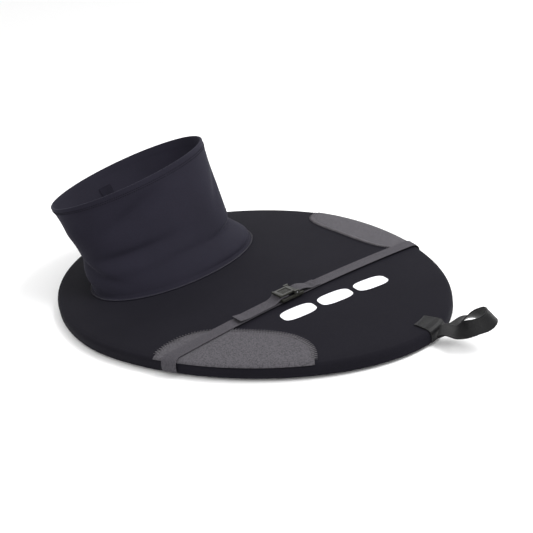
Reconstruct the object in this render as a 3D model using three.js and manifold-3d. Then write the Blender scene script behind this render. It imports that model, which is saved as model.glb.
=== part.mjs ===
// Kayak spray skirt: a neoprene deck with a rolled elastic rim, a body tunnel, two abrasion patches,
// an adjustable cross strap with a cam buckle, and a grab loop at the bow.
// Millimetres. +X points to the bow, +Y to port, +Z up. The rolled rim rests on z = 0, and the last lines
// put the origin under the middle of the whole skirt's box.
import * as THREE from 'three';
import { mergeVertices } from 'three/addons/utils/BufferGeometryUtils.js';
import Module from 'manifold-3d';

// ---- Driving dimensions -------------------------------------------------------------------------
const BOW_REACH = 456; // from the widest line to the rim's front
const STERN_REACH = 384; // and to its back
const HALF_BEAM = 295;
const OUTLINE_POWER = 1.85; // superellipse power of the deck's outline
const RIM_HEIGHT = 24; // top of the deck at its shoulder
const CROWN = 12; // rise of the deck's middle over its shoulder
const NEOPRENE = 4;
const SHOULDER = 8; // outer radius where the deck turns down
const WALL_FOOT = 6; // lower edge of the turned-down wall

const CORD_RADIUS = 4.5;
const SLEEVE_BORE = 5; // leaves the cord free to slide
const SLEEVE_RADIUS = 8;
const SLEEVE_INSET = NEOPRENE + SLEEVE_RADIUS + 0.4;
const SLEEVE_SLIT = Math.PI / 5; // half the seam's opening, and the angle that it faces
const SLEEVE_HEIGHT = SLEEVE_RADIUS * Math.cos(Math.PI / 10); // puts the section's lowest flat on z = 0

const TUNNEL_BASE = { x: -125, y: -26, a: 118, b: 163 }; // hole in the deck: centre and half-axes
const TUNNEL_TOP = { x: -251, y: 0, z: 189, a: 124, b: 168, pitch: 0.16, roll: 0.11 };
const TUNNEL_WALL = 3.5;
const FLARE_TOP = 56; // height where the fixed flare ends
const TUBE_FOOT = 47; // the tube's lower edge sits inside the flare
const TUBE_BASE = { x: -129, y: -31, a: 102, b: 148.5 }; // the tube's ring, carried down to the deck
const HEM_HEIGHT = 20;

const WEB_WIDTH = 25;
const WEB = 1.6;
const LAY_GAP = 2.4; // the webbing clears the patches that it crosses
const TOUCH = 0.4; // gap between pieces that touch
const STRAP_ANGLE = 0.148; // from +Y towards +X
const BUCKLE = { x: 195, y: -37, length: 44, width: 34, rail: 3.6, base: 4.7, height: 4.4 };
const TAIL_REACH = 104;

const LOOP = { width: 26, offset: 14, straight: 69, pitch: 0.41, roll: 0.27, yaw: 0.25 };
const LOOP_ROOT = { hinge: 9, aside: 14, height: 19 }; // ahead of the rim, to port, and over the floor

const RING_STEPS = 48;

// ---- Materials ----------------------------------------------------------------------------------
const finish = (color, roughness, metalness = 0) =>
  new THREE.MeshStandardMaterial({ color, roughness, metalness });
const neoprene = finish(0x1c1b22, 0.85);
const tunnelCloth = finish(0x22212c, 0.8);
const patchCloth = finish(0x5c5a5f, 0.95);
const greyWebbing = finish(0x56555c, 0.8);
const blackWebbing = finish(0x17171a, 0.6);
const shockCord = finish(0x2a2a2e, 0.7);
const gripRubber = finish(0x101012, 0.6);
const seamTape = finish(0x15151a, 0.7);
const buckleResin = finish(0x3a3a38, 0.5);
const springSteel = finish(0xb8babd, 0.35, 1);
const printFilm = finish(0xf0f0f2, 0.5);

const skirt = new THREE.Group();
function add(name, geometry, material, parent = skirt) {
  const mesh = new THREE.Mesh(geometry, material);
  mesh.name = name;
  parent.add(mesh);
}

// ---- Closed solids from point grids -------------------------------------------------------------
const range = (count, make) => Array.from({ length: count }, (_, index) => make(index));
const mix = THREE.MathUtils.lerp;

// A closed body from points and triangles, turned so that its faces point out.
function fromFaces(points, faces) {
  const volume = faces.reduce((sum, [a, b, c]) => {
    const [p, q, r] = [a, b, c].map((index) => new THREE.Vector3(...points[index]));
    return sum + p.dot(q.cross(r));
  }, 0);
  const geometry = new THREE.BufferGeometry();
  geometry.setAttribute('position', new THREE.Float32BufferAttribute(points.flat(), 3));
  geometry.setIndex((volume < 0 ? faces.map(([a, b, c]) => [a, c, b]) : faces).flat());
  return geometry;
}

// A slab between two grids of points, outer[row][column] and inner[row][column]. Columns may close on
// themselves.
function slab(outer, inner, ring = false) {
  const rows = outer.length;
  const columns = outer[0].length;
  const layer = rows * columns;
  const at = (side, row, column) => side * layer + row * columns + (column % columns);
  const faces = [];
  const quad = (a, b, c, d) => faces.push([a, b, c], [a, c, d]);
  const spans = ring ? columns : columns - 1;
  for (let row = 0; row < rows - 1; row += 1) {
    for (let column = 0; column < spans; column += 1) {
      quad(at(0, row, column), at(0, row, column + 1), at(0, row + 1, column + 1), at(0, row + 1, column));
      quad(at(1, row, column), at(1, row + 1, column), at(1, row + 1, column + 1), at(1, row, column + 1));
    }
  }
  const top = rows - 1;
  for (let column = 0; column < spans; column += 1) {
    quad(at(0, 0, column + 1), at(0, 0, column), at(1, 0, column), at(1, 0, column + 1));
    quad(at(0, top, column), at(0, top, column + 1), at(1, top, column + 1), at(1, top, column));
  }
  for (let row = 0; row < top && !ring; row += 1) {
    quad(at(0, row, 0), at(0, row + 1, 0), at(1, row + 1, 0), at(1, row, 0));
    quad(at(0, row + 1, spans), at(0, row, spans), at(1, row, spans), at(1, row + 1, spans));
  }
  return fromFaces([...outer.flat(), ...inner.flat()], faces);
}

// A rod along a row of rings, each the same number of points, with its two ends closed.
function rod(rings) {
  const sides = rings[0].length;
  const at = (ring, side) => ring * sides + (side % sides);
  const faces = [];
  for (let ring = 0; ring < rings.length - 1; ring += 1) {
    for (let side = 0; side < sides; side += 1) {
      faces.push([at(ring, side), at(ring, side + 1), at(ring + 1, side + 1)]);
      faces.push([at(ring, side), at(ring + 1, side + 1), at(ring + 1, side)]);
    }
  }
  for (let side = 1; side < sides - 1; side += 1) {
    faces.push([at(0, 0), at(0, side + 1), at(0, side)]);
    faces.push([at(rings.length - 1, 0), at(rings.length - 1, side), at(rings.length - 1, side + 1)]);
  }
  return fromFaces(rings.flat(), faces);
}

// ---- The deck's outline and surface -------------------------------------------------------------
const bend = (value) => Math.sign(value) * Math.abs(value) ** (2 / OUTLINE_POWER);
const reach = (x) => (x >= 0 ? BOW_REACH : STERN_REACH);

// A point of the rim at a turn angle, moved inwards along the outline's normal.
function rimPoint(turn, inset = 0) {
  const x = reach(Math.cos(turn)) * bend(Math.cos(turn));
  const y = HALF_BEAM * bend(Math.sin(turn));
  const nx = (Math.sign(x) * Math.abs(x / reach(x)) ** (OUTLINE_POWER - 1)) / reach(x);
  const ny = (Math.sign(y) * Math.abs(y / HALF_BEAM) ** (OUTLINE_POWER - 1)) / HALF_BEAM;
  const size = Math.hypot(nx, ny);
  return [x - (inset * nx) / size, y - (inset * ny) / size];
}

// Top of the deck: a low crown that falls to the shoulder's height at the rim.
function deckHeight(x, y) {
  const share = Math.abs(x / reach(x)) ** OUTLINE_POWER + Math.abs(y / HALF_BEAM) ** OUTLINE_POWER;
  return RIM_HEIGHT + CROWN * Math.max(0, 1 - share);
}

// Points down the rim at a turn, from the shoulder's inner end to a foot height, at an offset from the skin.
const SHOULDER_STEPS = 4;
function rimDrop(turn, offset, foot) {
  const arc = range(SHOULDER_STEPS + 1, (step) => {
    const angle = (Math.PI / 2) * (1 - step / SHOULDER_STEPS);
    const radius = SHOULDER + offset;
    const rise = RIM_HEIGHT - SHOULDER + radius * Math.sin(angle);
    return [...rimPoint(turn, SHOULDER - radius * Math.cos(angle)), rise];
  });
  return [...arc, [...rimPoint(turn, -offset), foot]];
}

const turns = range(RING_STEPS, (step) => (2 * Math.PI * step) / RING_STEPS);
const ellipsePoint = (ring, turn, grow = 0) => [
  ring.x + (ring.a + grow) * Math.cos(turn),
  ring.y + (ring.b + grow) * Math.sin(turn),
];

// ---- Deck, rim and what lies under it ----------------------------------------------------------------
const DECK_ROWS = 6;
function deckColumn(turn, offset) {
  const [holeX, holeY] = ellipsePoint(TUNNEL_BASE, turn);
  const [edgeX, edgeY] = rimPoint(turn, SHOULDER);
  const top = range(DECK_ROWS, (row) => {
    const share = row / DECK_ROWS;
    const x = mix(holeX, edgeX, share);
    const y = mix(holeY, edgeY, share);
    return [x, y, deckHeight(x, y) + offset];
  });
  return [...top, ...rimDrop(turn, offset, WALL_FOOT)].reverse();
}
const gridOf = (column) => range(column(turns[0]).length, (row) => turns.map((turn) => column(turn)[row]));

function deckPanel() {
  return slab(gridOf((turn) => deckColumn(turn, 0)), gridOf((turn) => deckColumn(turn, -NEOPRENE)), true);
}

// The hem folded round the cord: a C section whose slit is the seam, facing in and up.
const SLEEVE_POINTS = 9;
function sleeveColumn(turn, radius) {
  return range(SLEEVE_POINTS, (point) => {
    const sweep = 2 * (Math.PI - SLEEVE_SLIT);
    const angle = (-sweep * point) / (SLEEVE_POINTS - 1);
    const inset = SLEEVE_INSET + radius * Math.cos(angle);
    return [...rimPoint(turn, inset), SLEEVE_HEIGHT + radius * Math.sin(angle)];
  });
}
function rimSleeve() {
  const skin = (radius) => gridOf((turn) => sleeveColumn(turn, radius));
  return slab(skin(SLEEVE_RADIUS), skin(SLEEVE_BORE), true);
}

// The cord runs round the sleeve once, and its two ends meet at the stern.
const CORD_SIDES = 8;
function cordRing(turn, radius) {
  return range(CORD_SIDES, (side) => {
    const angle = (2 * Math.PI * side) / CORD_SIDES;
    const inset = SLEEVE_INSET + radius * Math.cos(angle);
    return [...rimPoint(turn, inset), SLEEVE_HEIGHT + radius * Math.sin(angle)];
  });
}
const CORD_GAP = 0.02; // radians between the cord's ends
function rimCord() {
  const first = Math.PI + CORD_GAP / 2;
  const sweep = 2 * Math.PI - CORD_GAP;
  const turnAt = (step) => first + (sweep * step) / RING_STEPS;
  return rod(range(RING_STEPS + 1, (step) => cordRing(turnAt(step), CORD_RADIUS - TOUCH)));
}

const GRIP = { outer: 26, inner: 44, thick: 1.2 };
function gripColumn(turn, drop) {
  return [GRIP.outer, (GRIP.outer + GRIP.inner) / 2, GRIP.inner].map((inset) => {
    const [x, y] = rimPoint(turn, inset);
    return [x, y, deckHeight(x, y) - NEOPRENE - drop];
  });
}
function gripStrip() {
  const skin = (drop) => gridOf((turn) => gripColumn(turn, drop));
  return slab(skin(2 * TOUCH), skin(2 * TOUCH + GRIP.thick), true);
}

add('deck_panel', deckPanel(), neoprene);
add('rim_sleeve', rimSleeve(), neoprene);
add('rim_cord', rimCord(), shockCord);
add('grip_strip', gripStrip(), gripRubber);

// ---- Abrasion patches and the bow's anchor patch -------------------------------------------------
// Points over the deck's skin at a turn, from an inner inset to the shoulder and some way down it.
function skinColumn(turn, innerInset, rows, offset, drop) {
  const flat = range(rows, (row) => {
    const [x, y] = rimPoint(turn, mix(innerInset, SHOULDER, row / rows));
    return [x, y, deckHeight(x, y) + offset];
  });
  return [...flat, ...rimDrop(turn, offset, WALL_FOOT).slice(0, drop)];
}
const turnAtX = (x) => Math.acos(Math.abs(x / reach(x)) ** (OUTLINE_POWER / 2) * Math.sign(x));

const PATCH = { thick: 1.2, rows: 4, columns: 14, power: 2.6, drop: 3, ends: 2 };
function abrasionPatch({ side, aft, fore, depth }) {
  const columns = range(PATCH.columns + 1, (column) => {
    const share = column / PATCH.columns;
    const turn = side * turnAtX(mix(aft, fore, share));
    const belly = (1 - Math.abs(2 * share - 1) ** PATCH.power) ** (1 / PATCH.power);
    return { turn, inset: SHOULDER + mix(PATCH.ends, depth, belly) };
  });
  const layer = (offset) =>
    columns.map(({ turn, inset }) => skinColumn(turn, inset, PATCH.rows, offset, PATCH.drop));
  return slab(layer(TOUCH + PATCH.thick), layer(TOUCH));
}
add('abrasion_patch_starboard', abrasionPatch({ side: -1, aft: 132, fore: 368, depth: 88 }), patchCloth);
add('abrasion_patch_port', abrasionPatch({ side: 1, aft: -38, fore: 246, depth: 62 }), patchCloth);

const ANCHOR = { turn: 0.06, halfTurn: 0.08, columns: 6, inset: 30, rows: 2, thick: 1.5 };
function anchorPatch() {
  const layer = (offset) =>
    range(ANCHOR.columns + 1, (column) => {
      const turn = ANCHOR.turn + ANCHOR.halfTurn * (2 * (column / ANCHOR.columns) - 1);
      return skinColumn(turn, ANCHOR.inset, ANCHOR.rows, offset, SHOULDER_STEPS + 2);
    });
  return slab(layer(TOUCH + ANCHOR.thick), layer(TOUCH));
}
add('loop_anchor_patch', anchorPatch(), blackWebbing);

// ---- Body tunnel --------------------------------------------------------------------------------
const deckAtTunnel = deckHeight(TUNNEL_BASE.x, TUNNEL_BASE.y);

// A point on the leaning tube at a share of its height, moved outwards by grow.
function tubePoint(share, turn, grow = 0) {
  const between = (key) => mix(TUBE_BASE[key], TUNNEL_TOP[key], share);
  const ring = { x: between('x'), y: between('y'), a: between('a'), b: between('b') };
  const [x, y] = ellipsePoint(ring, turn, grow);
  const tilt = TUNNEL_TOP.pitch * (x - ring.x) + TUNNEL_TOP.roll * (y - ring.y);
  return [x, y, mix(deckAtTunnel, TUNNEL_TOP.z, share) + share ** 2 * tilt];
}
const shareAt = (z) => (z - deckAtTunnel) / (TUNNEL_TOP.z - deckAtTunnel);
const HEM_SHARE = 1 - shareAt(HEM_HEIGHT + deckAtTunnel);

const TUNNEL_STEPS = 40;
const tunnelTurns = range(TUNNEL_STEPS, (step) => (2 * Math.PI * step) / TUNNEL_STEPS);
function band(from, to, rows, outer, inner, around = tunnelTurns) {
  const layer = (grow) =>
    range(rows + 1, (row) => around.map((turn) => tubePoint(mix(from, to, row / rows), turn, grow)));
  return slab(layer(outer), layer(inner), around.length === TUNNEL_STEPS);
}

// The fixed flare follows the same lean, from the seam on the deck to its upper edge.
function flareLayer(grow) {
  const foot = tunnelTurns.map((turn) => {
    const [x, y] = ellipsePoint(TUNNEL_BASE, turn, grow);
    return [x, y, deckHeight(x, y) + TOUCH];
  });
  const share = shareAt(FLARE_TOP);
  const head = tunnelTurns.map((turn) => {
    const lean = (key) => mix(TUNNEL_BASE[key], TUNNEL_TOP[key], share);
    return [...ellipsePoint({ ...TUNNEL_BASE, x: lean('x'), y: lean('y') }, turn, grow), FLARE_TOP];
  });
  const middle = foot.map((point, index) => point.map((value, axis) => mix(value, head[index][axis], 0.5)));
  return [foot, middle, head];
}
const SEAM_TAPE = { thick: 0.7, low: 0.15, high: 0.55, halfTurn: 0.09, columns: 3 };
function baseTape() {
  const strip = (grow) => {
    const [foot, , head] = flareLayer(grow);
    return [SEAM_TAPE.low, SEAM_TAPE.high].map((share) =>
      foot.map((point, index) => point.map((value, axis) => mix(value, head[index][axis], share))),
    );
  };
  return slab(strip(-TOUCH), strip(-TOUCH - SEAM_TAPE.thick), true);
}
const backTurns = range(SEAM_TAPE.columns + 1, (column) => {
  return Math.PI + SEAM_TAPE.halfTurn * (2 * (column / SEAM_TAPE.columns) - 1);
});
const TUBE_ROWS = 5;
const HEM_THICK = 5;
const TUBE_TOP_SHARE = HEM_SHARE - 0.003;
const tapeGrow = -TUNNEL_WALL - 2 * TOUCH;
const hemGrow = (HEM_THICK - TUNNEL_WALL) / 2;
const BACK_TAPE = { low: 0.2, high: 0.8 }; // shares of the tunnel's height
function backTape() {
  const [low, high] = [BACK_TAPE.low, BACK_TAPE.high];
  return band(low, high, TUBE_ROWS, tapeGrow, tapeGrow - SEAM_TAPE.thick, backTurns);
}
add('tunnel_flare', slab(flareLayer(TUNNEL_WALL), flareLayer(0), true), tunnelCloth);
add('tunnel_base_tape', baseTape(), seamTape);
add('tunnel_tube', band(shareAt(TUBE_FOOT), TUBE_TOP_SHARE, TUBE_ROWS, 0, -TUNNEL_WALL), tunnelCloth);
add('tunnel_top_hem', band(HEM_SHARE, 1, 2, hemGrow, hemGrow - HEM_THICK), tunnelCloth);
add('tunnel_back_tape', backTape(), seamTape);

// ---- Cross strap --------------------------------------------------------------------------------
const along = [Math.sin(STRAP_ANGLE), Math.cos(STRAP_ANGLE)];
const across = [along[1], -along[0]];
const strapPlace = (distance, offset) => [0, 1].map(
  (axis) => [BUCKLE.x, BUCKLE.y][axis] + distance * along[axis] + offset * across[axis],
);

// The turn where a line along the strap, off its middle, reaches the shoulder on one side.
function shoulderTurn(side, offset) {
  let [low, high] = [0, Math.PI];
  for (let round = 0; round < 40; round += 1) {
    const middle = (low + high) / 2;
    const [x, y] = rimPoint(side * middle, SHOULDER);
    const reached = (x - BUCKLE.x) * across[0] + (y - BUCKLE.y) * across[1];
    [low, high] = reached > offset ? [middle, high] : [low, middle];
  }
  return (side * (low + high)) / 2;
}

// Webbing in side view is a path of [distance out from the buckle, height over the deck]. Its two faces
// lie half a thickness either side of the path.
function faceOf(path, half) {
  return path.map(([distance, height], index) => {
    const before = path[Math.max(index - 1, 0)];
    const after = path[Math.min(index + 1, path.length - 1)];
    const [run, rise] = [after[0] - before[0], after[1] - before[1]];
    const size = Math.hypot(run, rise);
    return [distance - (half * rise) / size, height + (half * run) / size];
  });
}
const WEB_COLUMNS = 2;
const webOffsets = range(WEB_COLUMNS + 1, (column) => WEB_WIDTH * (column / WEB_COLUMNS - 0.5));
const STRAP_ROWS = 6;
const STRAP_FOOT = 8;
const lie = LAY_GAP + WEB / 2;
const lieTwice = LAY_GAP + 1.5 * WEB + TOUCH;

function webbing(side, path, overRim) {
  const layer = (half) =>
    webOffsets.map((offset) => {
      const line = faceOf(path, half).map(([distance, height]) => {
        const [x, y] = strapPlace(side * distance, offset);
        return [x, y, deckHeight(x, y) + height];
      });
      if (!overRim) return line;
      const turn = shoulderTurn(side, offset);
      const [startX, startY] = strapPlace(side * path[path.length - 1][0], offset);
      const [endX, endY] = rimPoint(turn, SHOULDER);
      const open = range(STRAP_ROWS, (row) => {
        const share = (row + 1) / (STRAP_ROWS + 1);
        const [x, y] = [mix(startX, endX, share), mix(startY, endY, share)];
        return [x, y, deckHeight(x, y) + lie + half];
      });
      return [...line, ...open, ...rimDrop(turn, lie + half, STRAP_FOOT)];
    });
  return slab(layer(WEB / 2), layer(-WEB / 2));
}

const frameMiddle = BUCKLE.base + BUCKLE.height / 2;
const BAR = { far: 17.4, wrap: 4.4, steps: 8 };
function farPath() {
  const wrap = range(BAR.steps + 1, (step) => {
    const angle = Math.PI / 2 + (Math.PI * step) / BAR.steps;
    return [BAR.far + BAR.wrap * Math.cos(angle), frameMiddle + BAR.wrap * Math.sin(angle)];
  });
  const overFrame = frameMiddle + BAR.wrap;
  const fold = [[60, lieTwice], [42, lieTwice], [33, mix(lieTwice, overFrame, 0.6)], [25, overFrame]];
  return [...fold, ...wrap, [24, lie], [32, lie], [52, lie]];
}
const nearPath = [[7, lie + 2.2], [10, lie + 1.8], [15, lie + 0.5], [21, lie], [34, lie], [60, lie]];
const overBar = BUCKLE.base + BUCKLE.height + 2.5 * TOUCH + WEB / 2;
const tailPath = [
  [6, overBar], [15, overBar], [22, overBar], [28, mix(overBar, lieTwice, 0.6)], [36, lieTwice],
  [60, lieTwice], [TAIL_REACH - 16, lieTwice], [TAIL_REACH, lieTwice + 3],
];
add('strap_port', webbing(1, farPath(), true), greyWebbing);
add('strap_starboard', webbing(-1, nearPath, true), greyWebbing);
add('strap_tail', webbing(-1, tailPath, false), greyWebbing);

// ---- Cam buckle, in its own frame: X across, Y along the strap to port, Z up --------------------------
const wasm = await Module();
wasm.setup();
function solid(geometry) {
  const bare = geometry.index ? geometry.toNonIndexed() : geometry.clone();
  bare.deleteAttribute('normal');
  bare.deleteAttribute('uv');
  const merged = mergeVertices(bare, 1e-4);
  return new wasm.Manifold(
    new wasm.Mesh({
      numProp: 3,
      vertProperties: merged.attributes.position.array,
      triVerts: Uint32Array.from(merged.index.array),
    }),
  );
}
function geometryOf(manifold) {
  const { vertProperties, triVerts } = manifold.getMesh();
  const geometry = new THREE.BufferGeometry();
  geometry.setAttribute('position', new THREE.BufferAttribute(vertProperties, 3));
  geometry.setIndex(new THREE.BufferAttribute(triVerts, 1));
  return geometry;
}
const block = (wide, long, high, x, y, z) =>
  solid(new THREE.BoxGeometry(wide, long, high).translate(x, y, z));
const crossRod = (radius, long, y, z, sides = 16) =>
  new THREE.CylinderGeometry(radius, radius, long, sides).rotateZ(Math.PI / 2).translate(0, y, z);

const CLASP = {
  pinY: 8.4, pinZ: 12.2, pin: 1.5, bore: 1.8, ear: 9, earTop: 15.8,
  windowNear: -18, windowFar: 15.4, leverWidth: 24, hub: 3.4, lip: -23, leverTop: 15.4, leverThick: 2.8,
};

function buckleFrame() {
  const { length, width, rail, height } = BUCKLE;
  const corner = 3;
  const plan = new THREE.Shape();
  const [x, y] = [width / 2, length / 2];
  plan.moveTo(-x + corner, -y).lineTo(x - corner, -y).quadraticCurveTo(x, -y, x, -y + corner);
  plan.lineTo(x, y - corner).quadraticCurveTo(x, y, x - corner, y);
  plan.lineTo(-x + corner, y).quadraticCurveTo(-x, y, -x, y - corner);
  plan.lineTo(-x, -y + corner).quadraticCurveTo(-x, -y, -x + corner, -y);
  const plate = new THREE.ExtrudeGeometry(plan, { depth: height, bevelEnabled: false, curveSegments: 3 });
  let frame = solid(plate.translate(0, 0, BUCKLE.base));
  const windowLong = CLASP.windowFar - CLASP.windowNear;
  const windowMiddle = (CLASP.windowFar + CLASP.windowNear) / 2;
  frame = frame.subtract(block(width - 2 * rail, windowLong, 3 * height, 0, windowMiddle, frameMiddle));
  for (const side of [-1, 1]) {
    const high = CLASP.earTop - frameMiddle;
    const middle = frameMiddle + high / 2;
    frame = frame.add(block(rail, CLASP.ear, high, (side * (width - rail)) / 2, CLASP.pinY, middle));
  }
  return geometryOf(frame.subtract(solid(crossRod(CLASP.bore, 2 * width, CLASP.pinY, CLASP.pinZ))));
}

const NOTCH = { width: 9, reach: 3.4 };
const RECESS = { width: 17, from: -15, to: 3.5, depth: 1.2 };
function camLever() {
  const { hub, pinY, pinZ, leverWidth, leverTop, leverThick, lip } = CLASP;
  const under = leverTop - leverThick;
  const side = new THREE.Shape();
  side.moveTo(pinY, leverTop).lineTo(lip + 4, leverTop).lineTo(lip + 2, leverTop + 1.4);
  side.lineTo(lip, leverTop + 1).lineTo(lip, under + 0.6).lineTo(lip + 3, under).lineTo(pinY - hub, under);
  side.absarc(pinY, pinZ, hub, Math.PI, 2.5 * Math.PI, false);
  const arm = new THREE.ExtrudeGeometry(side, { depth: leverWidth, bevelEnabled: false, curveSegments: 14 });
  const upright = new THREE.Matrix4().set(0, 0, 1, -leverWidth / 2, 1, 0, 0, 0, 0, 1, 0, 0, 0, 0, 0, 1);
  let lever = solid(arm.applyMatrix4(upright));
  lever = lever.subtract(solid(crossRod(CLASP.bore, 2 * leverWidth, pinY, pinZ)));
  lever = lever.subtract(block(NOTCH.width, 2 * NOTCH.reach + 2, 2 * NOTCH.reach, 0, pinY, pinZ - 0.6));
  const recessLong = RECESS.to - RECESS.from;
  const recessMiddle = (RECESS.to + RECESS.from) / 2;
  lever = lever.subtract(block(RECESS.width, recessLong, 2 * RECESS.depth, 0, recessMiddle, leverTop));
  return geometryOf(lever);
}

const SPRING = { radius: 2.35, wire: 0.4, coils: 3, width: 6, steps: 12 };
function leverSpring() {
  const points = range(SPRING.coils * SPRING.steps + 1, (step) => {
    const angle = (2 * Math.PI * step) / SPRING.steps;
    const x = SPRING.width * (step / (SPRING.coils * SPRING.steps) - 0.5);
    const [aside, rise] = [SPRING.radius * Math.cos(angle), SPRING.radius * Math.sin(angle)];
    return new THREE.Vector3(x, CLASP.pinY + aside, CLASP.pinZ + rise);
  });
  const section = new THREE.Shape().absarc(0, 0, SPRING.wire, 0, 2 * Math.PI);
  const extrudePath = new THREE.CatmullRomCurve3(points);
  return new THREE.ExtrudeGeometry(section, { extrudePath, steps: points.length - 1, curveSegments: 3 });
}

const buckle = new THREE.Group();
buckle.position.set(BUCKLE.x, BUCKLE.y, deckHeight(BUCKLE.x, BUCKLE.y));
buckle.rotation.z = -STRAP_ANGLE;
skirt.add(buckle);
add('buckle_frame', buckleFrame(), buckleResin, buckle);
add('cam_lever', camLever(), buckleResin, buckle);
add('lever_pin', crossRod(CLASP.pin, BUCKLE.width - 0.4, CLASP.pinY, CLASP.pinZ), springSteel, buckle);
add('lever_spring', leverSpring(), springSteel, buckle);

// ---- Grab loop: webbing laid double and flat at the root, turned on edge round the tip -----------------
const LOOP_LIFT = 1.2; // the two ends lie over each other at the root
const LOOP_TILT = 1.45; // how far the band has turned on edge at the tip
const LOOP_SPREAD = 32; // the two runs are fully apart from here
const LOOP_TURN = { from: 18, to: 66 }; // and turn on edge between these
const smooth = (value, low, high) => THREE.MathUtils.smoothstep(value, low, high);
const LOOP_RUN = [1, 7, 14, 22, 31, 41, 51, 60];
const TIP_STEPS = 8;
function loopStations() {
  const run = LOOP_RUN.map((x) => {
    const y = LOOP.offset * smooth(x, 0, LOOP_SPREAD);
    return { x, y, out: [0, 1], tilt: LOOP_TILT * smooth(x, LOOP_TURN.from, LOOP_TURN.to) };
  });
  const tip = range(TIP_STEPS + 1, (step) => {
    const angle = (Math.PI * step) / TIP_STEPS - Math.PI / 2;
    const out = [Math.cos(angle), Math.sin(angle)];
    return { x: LOOP.straight + LOOP.offset * out[0], y: LOOP.offset * out[1], out, tilt: LOOP_TILT };
  });
  const starboard = run.map((station) => ({ ...station, y: -station.y, out: [0, -1] }));
  return [...starboard, ...tip, ...run.reverse()];
}
function grabLoop() {
  const stations = loopStations();
  const layer = (half) =>
    stations.map(({ x, y, out, tilt }, index) => {
      const lift = LOOP_LIFT * Math.cos((Math.PI * index) / (stations.length - 1));
      return [-1, 0, 1].map((edge) => {
        const inward = (edge * LOOP.width * Math.cos(tilt)) / 2 - half * Math.sin(tilt);
        const rise = (edge * LOOP.width * Math.sin(tilt)) / 2 + half * Math.cos(tilt);
        return [x - out[0] * inward, y - out[1] * inward, lift + rise];
      });
    });
  return slab(layer(WEB / 2), layer(-WEB / 2));
}
const loop = new THREE.Group();
loop.position.set(BOW_REACH + LOOP_ROOT.hinge, LOOP_ROOT.aside, LOOP_ROOT.height);
loop.rotation.set(LOOP.roll, -LOOP.pitch, LOOP.yaw, 'ZYX');
skirt.add(loop);
add('grab_loop', grabLoop(), blackWebbing, loop);

// ---- Deck graphic: three plain tapered bars of heat-bonded film ----------------------------------------
const BARS = { x: 262, y: 4, angle: 0.27, pitch: 70, rows: 6, power: 3 };
const BAR_SIZE = { length: 60, width: 34, tip: 3, film: 0.4 };
function printBar(order) {
  const direction = [Math.sin(BARS.angle), Math.cos(BARS.angle)];
  const layer = (offset) =>
    range(BARS.rows + 1, (row) => {
      const share = row / BARS.rows;
      const distance = order * BARS.pitch + BAR_SIZE.length * (share - 0.5);
      const belly = (1 - Math.abs(2 * share - 1) ** BARS.power) ** (1 / BARS.power);
      return [-1, 0, 1].map((edge) => {
        const aside = (edge * mix(BAR_SIZE.tip, BAR_SIZE.width, belly)) / 2;
        const x = BARS.x + distance * direction[0] + aside * direction[1];
        const y = BARS.y + distance * direction[1] - aside * direction[0];
        return [x, y, deckHeight(x, y) + offset];
      });
    });
  return slab(layer(TOUCH + BAR_SIZE.film), layer(TOUCH));
}
for (const order of [-1, 0, 1]) {
  add(`print_bar_${order + 2}`, printBar(order), printFilm);
}

const box = new THREE.Box3().setFromObject(skirt, true);
skirt.position.x = -(box.min.x + box.max.x) / 2;

export default skirt;
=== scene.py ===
"""Looks for the kayak spray skirt.

Every soft piece is a fine closed sheet round a grid of mid-surface points. Places are worked out in the
deck's own frame, in metres: +X to the bow from the widest line, +Y to port. SHIFT carries them into the
row frame. Angles round the rim and the tunnel, called turns, start at the bow and go to port.
"""
import math

import bmesh
import bpy
import numpy as np
from mathutils import Matrix, Vector


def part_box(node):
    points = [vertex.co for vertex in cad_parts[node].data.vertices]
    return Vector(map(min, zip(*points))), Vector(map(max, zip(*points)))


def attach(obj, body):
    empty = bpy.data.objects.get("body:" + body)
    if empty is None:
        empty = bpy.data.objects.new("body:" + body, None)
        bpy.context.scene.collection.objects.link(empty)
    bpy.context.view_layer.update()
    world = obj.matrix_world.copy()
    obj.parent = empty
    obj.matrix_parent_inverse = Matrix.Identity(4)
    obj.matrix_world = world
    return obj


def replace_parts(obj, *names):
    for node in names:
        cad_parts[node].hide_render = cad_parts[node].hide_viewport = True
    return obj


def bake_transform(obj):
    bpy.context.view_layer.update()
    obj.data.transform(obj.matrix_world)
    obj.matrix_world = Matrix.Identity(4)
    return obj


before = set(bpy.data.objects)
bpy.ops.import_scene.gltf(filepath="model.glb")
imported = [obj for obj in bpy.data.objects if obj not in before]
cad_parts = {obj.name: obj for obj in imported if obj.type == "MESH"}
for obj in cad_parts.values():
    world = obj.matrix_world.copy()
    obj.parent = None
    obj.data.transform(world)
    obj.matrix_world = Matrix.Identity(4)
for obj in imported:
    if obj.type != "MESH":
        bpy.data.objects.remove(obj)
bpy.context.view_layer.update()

# ---- Dimensions shared with the CAD, in metres ---------------------------------------------------
BOW_REACH, STERN_REACH, HALF_BEAM, OUTLINE_POWER = 0.456, 0.384, 0.295, 1.85
RIM_HEIGHT, CROWN, NEOPRENE, SHOULDER, WALL_FOOT = 0.024, 0.012, 0.004, 0.008, 0.006
TOUCH = 0.0004  # gap between pieces that touch
SLEEVE_RADIUS, SLEEVE_BORE, CORD_RADIUS = 0.008, 0.005, 0.0041
SLEEVE_INSET = NEOPRENE + SLEEVE_RADIUS + TOUCH
SLEEVE_SLIT = math.pi / 5  # half the seam's opening, and the angle that it faces
SLEEVE_HEIGHT = SLEEVE_RADIUS * math.cos(math.pi / 10)  # puts the CAD section's lowest flat on z = 0
TUNNEL_BASE = {"x": -0.125, "y": -0.026, "a": 0.118, "b": 0.163}
TUBE_BASE = {"x": -0.129, "y": -0.031, "a": 0.102, "b": 0.1485}
TUNNEL_TOP = {"x": -0.251, "y": 0.0, "z": 0.189, "a": 0.124, "b": 0.168}
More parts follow.
